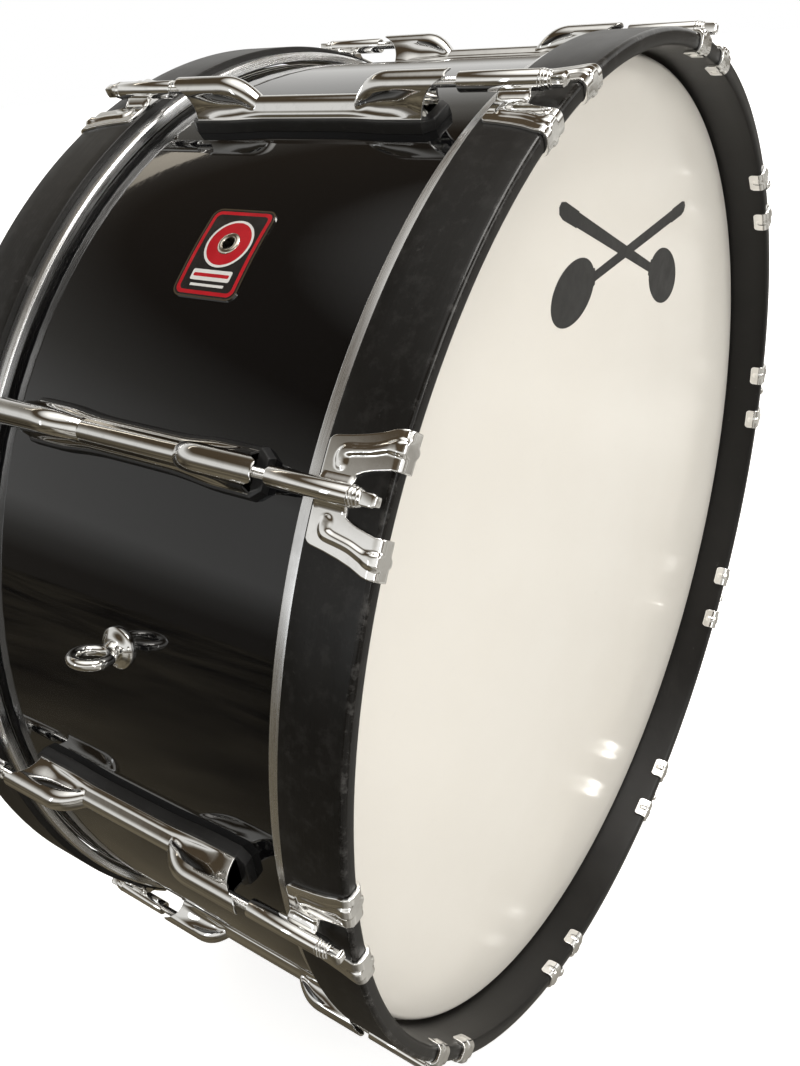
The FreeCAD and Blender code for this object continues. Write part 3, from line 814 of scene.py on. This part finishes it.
def washer_mesh():
    """The two dished washers under the rod's flange."""
    rings = []
    for start, end, radius in ((11.15, 12.6, 4.9), (12.7, 14.4, 5.2)):
        edge = ((0.0, radius - 0.45), (0.2, radius - 0.12), (0.5, radius))
        outline = [(start, WASHER_BORE)] + [(start + depth, level) for depth, level in edge]
        outline += [(end - depth, level) for depth, level in reversed(edge)] + [(end, WASHER_BORE)]
        rings.append(lathe_along(outline, 36))
    return mesh_from("rod_washers", *joined(rings))


def build_claws_and_rods():
    claw = claw_mesh()
    rod = rod_mesh()
    washers = washer_mesh()
    for end in ("front", "rear"):
        rear = end == "rear"
        hoop = end + "_hoop"
        for index in range(STATIONS):
            angle = index * 360.0 / STATIONS
            number = "_%02d" % (index + 1)
            piece("claw_" + end + number, claw, hoop, end + "_claws", CHROME, angle, rear)
            piece("washers_" + end + number, washers, hoop, end + "_rod_washers",
                  CHROME, angle, rear)
            piece("rod_" + end + number, rod, end + "_rod" + number, end + "_tension_rod" + number,
                  CHROME, angle, rear)


# ---- lugs

CASING_HALF = 96.2
CASING_FOOT = PLINTH_TOP + 0.05
CASING_WALL = 1.5
POCKET_FLOOR = 76.2
MOUTH_RADIUS = 20.0
MOUTH_CENTRE = 101.0
CUT_START = 62.0
BELL_START = 36.0
BELL_FULL = 60.0
BELL_EASE = 2.4
CREASE_END = 80.0
BAR = {"foot": 8.7, "centre": 362.6, "round": 6.0, "crease": Vector((6.7, 363.2))}
BELL = {"foot": 10.8, "centre": 373.0, "round": 7.6, "crease": Vector((10.5, 360.6))}
SCOOP = 1.9
SCOOP_LEFT_AT_MOUTH = 0.3
FOOT_HEIGHT = 0.55
FOOT_ROUND = Vector((-0.25, 0.3))
SKIRT_BULGE = 0.45
CREST_STEPS = 7
FLANK_STEPS = 9
SKIRT_STEPS = 5
BORE_SWEEP = (-62.0, 242.0)
MOUTH_LIP = 0.35
BORE_RADIUS = 4.85
BORE_DEEP = 69.0
CASING_REACH = ([0.0, 14.0, 26.0, 30.0, 33.0, 34.5, 35.5] + [BELL_START + 0.8 * step for step in range(12)]
                + [46.0 + 2.0 * step for step in range(9)] + [66.0 + 4.0 * step for step in range(7)]
                + [93.0, 95.0, CASING_HALF])


def outward(run):
    """Unit normal on the right of a run, or straight sideways where the run has no length."""
    return Vector((run.y, -run.x)).normalized() if run.length > 0.01 else Vector((1.0, 0.0))


def casing_half(distance, inset):
    """Half of a casing's section, from its foot to its crest, at one distance along."""
    step = min(1.0, max(0.0, (distance - BELL_START) / (BELL_FULL - BELL_START)))
    rise = 1.0 - (1.0 - step) ** BELL_EASE
    lead = min(1.0, max(0.0, (distance - BELL_START) / (CREASE_END - BELL_START)))
    foot = mixed(BAR["foot"], BELL["foot"], smooth_step(distance, BELL_START - 8.0, BELL_FULL)) - inset
    crest_centre = mixed(BAR["centre"], BELL["centre"], rise)
    crest_round = mixed(BAR["round"], BELL["round"], rise) - inset
    crease = BAR["crease"].lerp(BELL["crease"], lead) - Vector((inset, 0.0))
    scoop = SCOOP * smooth_step(distance, BELL_START - 1.0, BELL_START + 9.0)
    scoop *= mixed(1.0, SCOOP_LEFT_AT_MOUTH, smooth_step(distance, BELL_FULL, CASING_HALF))
    centre = Vector((0.0, crest_centre))
    reach = (crease - centre).length
    lean = math.atan2(crest_centre - crease.y, crease.x)
    tangent = math.acos(min(1.0, crest_round / reach)) - lean
    touch = centre + crest_round * Vector((math.cos(tangent), math.sin(tangent)))
    points = [Vector((foot, CASING_FOOT)), Vector((foot, CASING_FOOT + FOOT_HEIGHT))]
    shoulder = points[1] + FOOT_ROUND
    for step in range(SKIRT_STEPS):
        share = step / SKIRT_STEPS
        bulge = SKIRT_BULGE * math.sin(math.pi * share) * (1.0 - lead)
        points.append(shoulder.lerp(crease, share) + outward(crease - shoulder) * bulge)
    for step in range(FLANK_STEPS):
        share = step / FLANK_STEPS
        dip = scoop * math.sin(math.pi * share) ** 0.8 * min(1.0, (touch - crease).length / 8.0)
        points.append(crease.lerp(touch, share) - outward(touch - crease) * dip)
    for step in range(CREST_STEPS):
        angle = mixed(tangent, math.pi / 2, step / CREST_STEPS)
        points.append(centre + crest_round * Vector((math.cos(angle), math.sin(angle))))
    points.append(centre + Vector((0.0, crest_round)))
    return points


def mouth_limit(level):
    """How far along the mouth's curved cut lies at one level."""
    drop = max(0.0, MOUTH_RADIUS ** 2 - (level - PLINTH_TOP) ** 2)
    return min(CASING_HALF, MOUTH_CENTRE - math.sqrt(drop))


def casing_ring(distance, inset=0.0, back=0.0):
    """Closed section ring; near the mouth it is drawn in to follow the curved cut."""
    half = casing_half(abs(distance), inset)
    sign = 1.0 if distance > 0 else -1.0
    ring = []
    for side, points in ((1.0, half), (-1.0, list(reversed(half[:-1])))):
        for point in points:
            along = abs(distance)
            if along > CUT_START:
                share = (along - CUT_START) / (CASING_HALF - CUT_START)
                along = mixed(CUT_START, mouth_limit(point.y) - back, share)
            ring.append((side * point.x, sign * along, point.y))
    return ring


def bore_ring(distance, radius, count):
    """Ring round the nut's bore, matched point by point to a section ring."""
    ring = []
    for step in range(count):
        angle = math.radians(mixed(*BORE_SWEEP, step / (count - 1)))
        ring.append((radius * math.cos(angle), distance, ROD_LINE + radius * math.sin(angle)))
    return ring


def casing_mesh():
    """Casting with a low bar, two scooped bells and a hollow mouth at each end."""
    outer = [casing_ring(-distance) for distance in reversed(CASING_REACH[1:])] + [casing_ring(-0.001)]
    outer += [casing_ring(distance) for distance in CASING_REACH[1:]]
    outer[0] = casing_ring(-CASING_HALF, 0.0, MOUTH_LIP)
    outer[-1] = casing_ring(CASING_HALF, 0.0, MOUTH_LIP)
    count = len(outer[0])
    lip = ((0.10, 0.10), (MOUTH_LIP, 0.0), (CASING_WALL - MOUTH_LIP, 0.0), (CASING_WALL - 0.05, 0.25))
    ends = []
    for sign in (-1.0, 1.0):
        inside = [casing_ring(sign * CASING_HALF, inset, back) for inset, back in lip]
        inside += [casing_ring(sign * along, CASING_WALL) for along in (90.0, POCKET_FLOOR + 0.4)]
        inside.append(bore_ring(sign * POCKET_FLOOR, BORE_RADIUS, count))
        inside.append(bore_ring(sign * BORE_DEEP, BORE_RADIUS - 0.05, count))
        ends.append(inside)
    return mesh_from("lug_casing", *skin(list(reversed(ends[0])) + outer + ends[1]), 34.0)


PLINTH_WIDTHS = ((0.0, 10.2), (26.0, 10.3), (38.0, 11.0), (52.0, 12.3), (60.0, 12.6), (81.5, 12.6),
                 (87.5, 8.0))
PLINTH_CAP = ((87.25, 8.2, 0.15), (87.5, 8.0, 0.6))
PLINTH_FLARE = 1.0
PLINTH_BEVEL = 0.7
SEAT_GAP = 0.02


def seat_level(sideways):
    """Level of the shell's skin beside a piece's middle, with a hair of clearance."""
    return math.sqrt((SHELL_RADIUS + SEAT_GAP) ** 2 - sideways ** 2)


def plinth_section(along, half, drop):
    """Closed section of the plinth, seated on the shell's round."""
    right = [(half + PLINTH_FLARE, None), (half + 0.25, PLINTH_TOP - 1.6),
             (half, PLINTH_TOP - PLINTH_BEVEL), (half - 0.2, PLINTH_TOP - 0.2),
             (half - PLINTH_BEVEL, PLINTH_TOP), (half * 0.5, PLINTH_TOP)]
    ring = []
    for side, points in ((1.0, right), (-1.0, list(reversed(right)))):
        for sideways, level in points:
            ring.append((side * sideways, along, seat_level(sideways) if level is None else level - drop))
    for share in (-0.5, 0.0, 0.5):
        sideways = share * (half + PLINTH_FLARE)
        ring.append((sideways, along, seat_level(sideways)))
    return ring


def plinth_mesh():
    reach = [4.0 * step for step in range(20)] + [79.0, 81.5, 83.0, 85.0, 86.9]
    places = [-along for along in reversed(reach[1:])] + reach
    rings = [plinth_section(along, along_table(PLINTH_WIDTHS, abs(along)), 0.0) for along in places]
    for sign in (-1, 1):
        cap = [plinth_section(sign * along, half, drop) for along, half, drop in PLINTH_CAP]
        rings = rings + cap if sign > 0 else list(reversed(cap)) + rings
    return mesh_from("lug_plinth", *skin(rings), 30.0)


def build_lugs():
    casing = casing_mesh()
    plinth = plinth_mesh()
    for index in range(STATIONS):
        angle = index * 360.0 / STATIONS
        number = "_%02d" % (index + 1)
        piece("casing" + number, casing, "drum_shell", "lug_casing" + number, CAST_CHROME, angle)
        piece("plinth" + number, plinth, "drum_shell", "lug_plinths", PLASTIC, angle)


# ---- sling eyes

EYE_ANGLES = {"left_sling_eye": 162.0, "right_sling_eye": 18.0}
EYE_CENTRE = 372.0
EYE_RING = 10.0
EYE_WIRE = 3.2
EYE_NECK_SPREAD = 0.45
EYE_NECK_THIN = 0.15


def eye_ring():
    """Ring in the plane of the drum's axis."""
    rings = []
    for turn in turns(72):
        ring = []
        for angle in turns(20):
            reach = EYE_RING + EYE_WIRE * math.cos(angle)
            level = EYE_CENTRE + reach * math.cos(turn)
            ring.append((EYE_WIRE * math.sin(angle), reach * math.sin(turn), level))
        rings.append(ring)
    return skin(rings, closed_along=True)


def eye_neck():
    """Flared neck that grows out of the boss and spreads into the ring."""
    profile = ((3.0, 338.0), (3.0, 358.0), (5.6, 358.5), (4.9, 359.6), (4.4, 360.8), (4.0, 361.8),
               (3.0, 363.2), (1.0, 363.6))
    points, faces = lathe_out(profile, 40, closed=False)
    stretched = []
    for x, y, z in points:
        wider = 1.0 + EYE_NECK_SPREAD * smooth_step(z, 359.0, 362.5)
        thinner = 1.0 - EYE_NECK_THIN * smooth_step(z, 359.5, 363.0)
        stretched.append((x * thinner, y * wider, z))
    return stretched, faces


def eye_mesh():
    """Ring and neck run together into one smooth forging."""
    mesh = mesh_from("eye_parts", *joined([eye_ring(), eye_neck()]))
    holder = new_object("eye_parts", mesh)
    melt = holder.modifiers.new("melt", "REMESH")
    melt.mode = "VOXEL"
    melt.voxel_size = 0.4 * MM
    melt.use_smooth_shade = True
    ease = holder.modifiers.new("ease", "SMOOTH")
    ease.factor = 0.5
    ease.iterations = 9
    shaped = bpy.data.meshes.new_from_object(holder.evaluated_get(bpy.context.evaluated_depsgraph_get()))
    bpy.data.objects.remove(holder)
    shaped.name = "sling_eye"
    shaped.polygons.foreach_set("use_smooth", [True] * len(shaped.polygons))
    return shaped


def boss_mesh():
    """Domed collar with a stepped foot, seated on the shell's round."""
    profile = ((3.3, 352.0), (12.0, 352.0), (12.0, 354.4), (11.8, 355.0), (11.3, 355.4), (10.6, 355.7),
               (9.8, 356.1), (8.8, 356.8), (7.8, 357.5), (6.8, 358.0), (6.1, 358.25), (5.2, 358.4),
               (3.3, 358.45))
    points, faces = lathe_out(profile, 64)
    seated = [(x, y, max(z, seat_level(x))) for x, y, z in points]
    return mesh_from("eye_boss", seated, faces)


def build_sling_eyes():
    eye = eye_mesh()
    boss = boss_mesh()
    for node, angle in EYE_ANGLES.items():
        side = node.split("_")[0]
        piece("eye_" + side, eye, "drum_shell", node, CAST_CHROME, angle)
        piece("eye_boss_" + side, boss, "drum_shell", "sling_eye_bosses", CAST_CHROME, angle)


# ---- badge and vent

BADGE_ANGLE = 125.75
BADGE_ALONG = -4.6
BADGE_HALF = (29.0, 22.5)
BADGE_SHEET = 0.8
VENT_ANGLE = 124.85
VENT_ALONG = -5.4
VENT_HOLE = 4.9


def curved_plate(outline, low, high):
    """Thin plate bent to the shell: a convex (round the shell, along) outline between two radii."""
    top = max(outline, key=lambda point: point[1])[1]
    bottom = min(outline, key=lambda point: point[1])[1]
    rings = []
    rows = 36
    for row in range(rows + 1):
        turn = math.pi * row / rows
        level = mixed(bottom, top, 0.5 - 0.4999 * math.cos(turn))
        left, right = crossing(outline, level)
        ring = []
        for radius, steps in ((high, range(13)), (low, range(12, -1, -1))):
            for step in steps:
                angle = mixed(left, right, step / 12) / SHELL_RADIUS
                ring.append((radius * math.sin(angle), level, radius * math.cos(angle)))
        rings.append(ring)
    return skin(rings)


def crossing(outline, level):
    """Where a convex outline meets one level: (leftmost, rightmost)."""
    found = []
    for index, (a, b) in enumerate(outline):
        c, d = outline[(index + 1) % len(outline)]
        if (b - level) * (d - level) <= 0 and b != d:
            found.append(a + (c - a) * (level - b) / (d - b))
    return min(found), max(found)


def rounded_box(half_across, half_along, corner, across=0.0, along=0.0):
    outline = rounded_section((
        (half_across, half_along, corner), (-half_across, half_along, corner),
        (-half_across, -half_along, corner), (half_across, -half_along, corner),
    ), 10)
    return [(point.x + across, point.y + along) for point in outline]


def circle(radius, across, along, steps=64):
    return [(across + radius * math.cos(angle), along + radius * math.sin(angle)) for angle in turns(steps)]


def badge_layers():
    """(name, outline, height above the sheet, material) from the sheet to the print on it."""
    across, along = BADGE_HALF
    eye_across = math.radians(BADGE_ANGLE - VENT_ANGLE) * SHELL_RADIUS
    eye_along = VENT_ALONG - BADGE_ALONG
    return (
        ("sheet", rounded_box(across, along, 6.0), 0.0, CHROME),
        ("margin", rounded_box(across - 0.9, along - 0.9, 5.2), 0.02, BADGE_BLACK),
        ("border", rounded_box(across - 1.9, along - 1.9, 4.5), 0.03, BADGE_RED),
        ("field", rounded_box(across - 4.2, along - 4.2, 3.0), 0.04, BADGE_BLACK),
        ("halo", circle(15.6, eye_across, eye_along), 0.05, BADGE_WHITE),
        ("roundel", circle(14.1, eye_across, eye_along), 0.06, BADGE_RED),
        ("bar_white", rounded_box(3.4, 14.0, 1.2, -15.2, 0.0), 0.05, BADGE_WHITE),
        ("bar_red", rounded_box(1.1, 12.6, 0.8, -15.2, 0.0), 0.06, BADGE_RED),
        ("rule", rounded_box(0.8, 12.0, 0.4, -21.4, 0.0), 0.05, BADGE_WHITE),
    )


def pierced(mesh):
    """The plate with the vent's hole cut through it."""
    plate = new_object("plate", mesh)
    bit = lathe_out(((VENT_HOLE, 340.0), (VENT_HOLE, 370.0)), 48, closed=False)
    drill = new_object("drill", mesh_from("drill", *bit))
    turn = Matrix.Rotation(math.radians(BADGE_ANGLE - VENT_ANGLE), 4, "Y")
    drill.matrix_world = turn @ Matrix.Translation((0.0, VENT_ALONG * MM, 0.0))
    cut = plate.modifiers.new("cut", "BOOLEAN")
    cut.operation = "DIFFERENCE"
    cut.solver = "EXACT"
    cut.object = drill
    bpy.context.view_layer.update()
    shaped = bpy.data.meshes.new_from_object(plate.evaluated_get(bpy.context.evaluated_depsgraph_get()))
    bpy.data.objects.remove(plate)
    bpy.data.objects.remove(drill)
    return shaped


def build_badge():
    outside = SHELL_RADIUS + BADGE_SHEET
    for name, outline, height, material in badge_layers():
        low = SHELL_RADIUS + 0.03 if name == "sheet" else outside - 0.05
        shifted = [(a, b + BADGE_ALONG) for a, b in outline]
        mesh = mesh_from("badge_" + name, *curved_plate(shifted, low, outside + height), 30.0)
        if name in ("sheet", "margin", "border", "field", "halo", "roundel"):
            mesh = pierced(mesh)
        piece("badge_" + name, mesh, "drum_shell", "badge", material, BADGE_ANGLE)


def grommet_mesh():
    """Rolled eyelet with a raised lip outside and a turned-over flange inside."""
    top = SHELL_RADIUS + BADGE_SHEET
    lip = ((4.0, 0.35), (4.25, 0.7), (4.8, 0.9), (5.6, 0.9), (6.4, 0.65), (6.9, 0.3), (7.0, 0.07),
           (4.86, 0.07))
    profile = [(4.0, 346.0)] + [(radius, top + height) for radius, height in lip]
    profile += [(4.86, 346.4), (6.8, 346.3), (7.0, 346.0), (6.6, 345.6), (4.6, 345.5)]
    points, faces = lathe_out(profile, 56)
    points = [(x, y + VENT_ALONG, z) for x, y, z in points]
    return mesh_from("vent_eyelet", points, faces)


# ---- print on the front head

MOTIF_ANGLE = 77.1
MOTIF_RADIUS = 233.0
MOTIF_TILT = -12.5
INK_HEIGHT = 0.06
INK_STEP = 0.004
BEATER_LEAN = 14.0


def flat_print(outlines):
    """Thin closed shapes on the front film from convex outlines seen from the front."""
    parts = []
    tilt = Matrix.Rotation(math.radians(MOTIF_TILT), 2)
    angle = math.radians(MOTIF_ANGLE)
    centre = Vector((MOTIF_RADIUS * math.cos(angle), MOTIF_RADIUS * math.sin(angle)))
    for level, outline in outlines:
        rings = []
        for along in (-FILM_FACE + 0.02, -FILM_FACE - INK_HEIGHT - level):
            placed = [centre + tilt @ Vector(point) for point in outline]
            rings.append([(point.x, along, point.y) for point in placed])
        parts.append(skin(rings))
    return joined(parts)


def beater(side):
    """One beater: a tapered stick and a felt head, leaning to one side."""
    lean = Matrix.Rotation(math.radians(-side * BEATER_LEAN), 2)
    stick = [(-112.0, -4.6), (-112.0, 4.6), (62.0, 3.4), (62.0, -3.4)]
    grip = [(-122.0, 0.0), (-120.0, -3.6), (-114.0, -5.2), (-92.0, -5.0), (-90.0, 0.0), (-92.0, 5.0),
            (-114.0, 5.2), (-120.0, 3.6)]
    felt = [(88.0 + 33.0 * math.cos(angle), 20.0 * math.sin(angle)) for angle in turns(72)]
    collar = [(54.0, -5.5), (60.0, -6.8), (60.0, 6.8), (54.0, 5.5)]
    lift = INK_STEP / 2 if side > 0 else 0.0
    shapes = []
    for order, outline in enumerate((stick, grip, felt, collar)):
        points = [lean @ Vector((side * point[0], point[1])) for point in outline]
        shapes.append((INK_STEP * order + lift, points))
    return shapes


def build_print():
    mesh = mesh_from("head_motif", *flat_print(beater(1) + beater(-1)), 20.0)
    piece("head_motif", mesh, "front_head", "front_head_film", INK)


# ---- carried-over pieces

def finish_cad_nodes():
    """Give the CAD nodes that stay visible their finishes."""
    finishes = {"shell": LACQUER, "front_lug_nuts": ZINC, "rear_lug_nuts": ZINC, "lug_screws": ZINC,
                "lug_screw_washers": ZINC, "sling_eye_nuts": ZINC, "sling_eye_washers": ZINC}
    for name, material in finishes.items():
        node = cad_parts[name]
        node.data.materials.clear()
        node.data.materials.append(material)


# ---- stage, light and camera

FLOOR_RINGS = (0.001, 1.001, 3.001, 9.001)
FLOOR_LEVEL = -0.0005
CAMERA_PLACE = Vector((-0.57335, -0.36876, 0.77554))
CAMERA_RIGHT = Vector((0.54124, -0.83626, -0.08789))
CAMERA_UP = Vector((0.48640, 0.22611, 0.84397))
CAMERA_LENS = 31.45
CAMERA_SENSOR = 36.0
CAMERA_SHIFT = (-0.0018, 0.0128)


def build_floor():
    """Flat pale floor that runs out past the picture on every side."""
    rings = []
    for radius in FLOOR_RINGS:
        rings.append([(radius * math.cos(angle), radius * math.sin(angle), 0.0) for angle in turns(64)])
    points, faces = skin(rings, caps=False)
    mesh = bpy.data.meshes.new("floor")
    mesh.from_pydata(points, [], faces)
    mesh.materials.append(floor_finish())
    floor = new_object("floor", mesh)
    floor.location.z = FLOOR_LEVEL


WORLD_RAMP = ((0.0, (0.16, 0.14, 0.115)), (0.07, (0.40, 0.385, 0.355)), (0.16, (1.05, 1.04, 1.01)),
              (0.40, (1.00, 0.99, 0.96)), (0.54, (0.42, 0.40, 0.36)), (0.66, (0.085, 0.063, 0.040)),
              (0.77, (0.085, 0.063, 0.040)), (0.86, (0.70, 0.68, 0.64)), (1.0, (1.60, 1.57, 1.50)))
# Direction range and the strengths at its two ends
DIM_LEFT = (-1.0, 0.3, 0.85, 1.0)
DIM_BEHIND = (0.95, 0.0, 0.75, 1.0)


def build_world():
    """Room light by height: a bright low band, a dark one above and a bright zenith."""
    world = bpy.data.worlds.new("studio")
    bpy.context.scene.world = world
    world.use_nodes = True
    sky = Nodes(world.node_tree)
    across, along, height = sky.axes(sky.add("TexCoord").outputs["Generated"])
    ramp = sky.add("ValToRGB", fac=height)
    elements = ramp.color_ramp.elements
    while len(elements) < len(WORLD_RAMP):
        elements.new(0.5)
    for element, (position, colour) in zip(elements, WORLD_RAMP):
        element.position = position
        element.color = (*colour, 1.0)
    left = sky.remap(across, *DIM_LEFT, "SMOOTHSTEP")
    behind = sky.remap(along, *DIM_BEHIND, "SMOOTHSTEP")
    room = sky.tree.nodes["Background"]
    sky.link(ramp.outputs[0], room.inputs["Color"])
    sky.link(sky.math("MULTIPLY", left, behind), room.inputs["Strength"])
    seen = sky.add("Background", color=(1.0, 1.0, 1.0, 1.0))
    path = sky.add("LightPath").outputs
    sky.choose(path["Is Camera Ray"], room.outputs[0], seen.outputs[0])


# (name, place, point it faces, size, power, colour)
SOFTBOXES = (
    ("overhead", (0.5, -1.0, 3.1), (0.0, 0.0, 0.3), (2.0, 1.0), 48.0, (1.0, 0.975, 0.94)),
    ("front", (1.0, -3.2, 1.5), (0.0, 0.0, 0.35), (1.5, 1.5), 27.0, (1.0, 0.97, 0.92)),
    ("window", (0.5, 2.6, 2.7), (-0.2, 0.0, 0.6), (1.3, 0.12), 0.75, (1.0, 0.90, 0.74)),
    ("side_strip", (-3.0, 1.1, 1.2), (-0.3, 0.0, 0.4), (0.25, 1.3), 2.2, (0.92, 0.96, 1.0)),
    ("back", (1.2, 3.4, 1.0), (0.0, 0.0, 0.35), (1.4, 1.0), 16.0, (1.0, 0.97, 0.92)),
    ("rim_strip", (-1.7, -3.0, 1.5), (0.0, 0.0, 0.4), (0.35, 2.4), 10.0, (1.0, 0.985, 0.96)),
)


def build_lights():
    for name, place, target, size, power, colour in SOFTBOXES:
        lamp = bpy.data.lights.new(name, "AREA")
        lamp.shape = "RECTANGLE"
        lamp.size, lamp.size_y = size
        lamp.energy = power
        lamp.color = colour
        holder = new_object(name, lamp)
        holder.location = place
        aim = Vector(target) - Vector(place)
        holder.rotation_euler = aim.to_track_quat("-Z", "Y").to_euler()


def build_camera():
    camera = bpy.data.cameras.new("camera")
    camera.lens = CAMERA_LENS
    camera.sensor_width = CAMERA_SENSOR
    camera.shift_x, camera.shift_y = CAMERA_SHIFT
    camera.clip_start = 0.01
    holder = new_object("camera", camera)
    forward = CAMERA_UP.cross(CAMERA_RIGHT)
    turn = Matrix((CAMERA_RIGHT, CAMERA_UP, -forward)).transposed().to_4x4()
    holder.matrix_world = Matrix.Translation(CAMERA_PLACE) @ turn
    bpy.context.scene.camera = holder


build_rings()
build_claws_and_rods()
build_lugs()
build_sling_eyes()
build_badge()
piece("vent_eyelet", grommet_mesh(), "drum_shell", "vent_grommet", NICKEL, VENT_ANGLE)
build_print()
finish_cad_nodes()
build_floor()
build_world()
build_lights()
build_camera()
bpy.context.scene.view_settings.view_transform = "Standard"
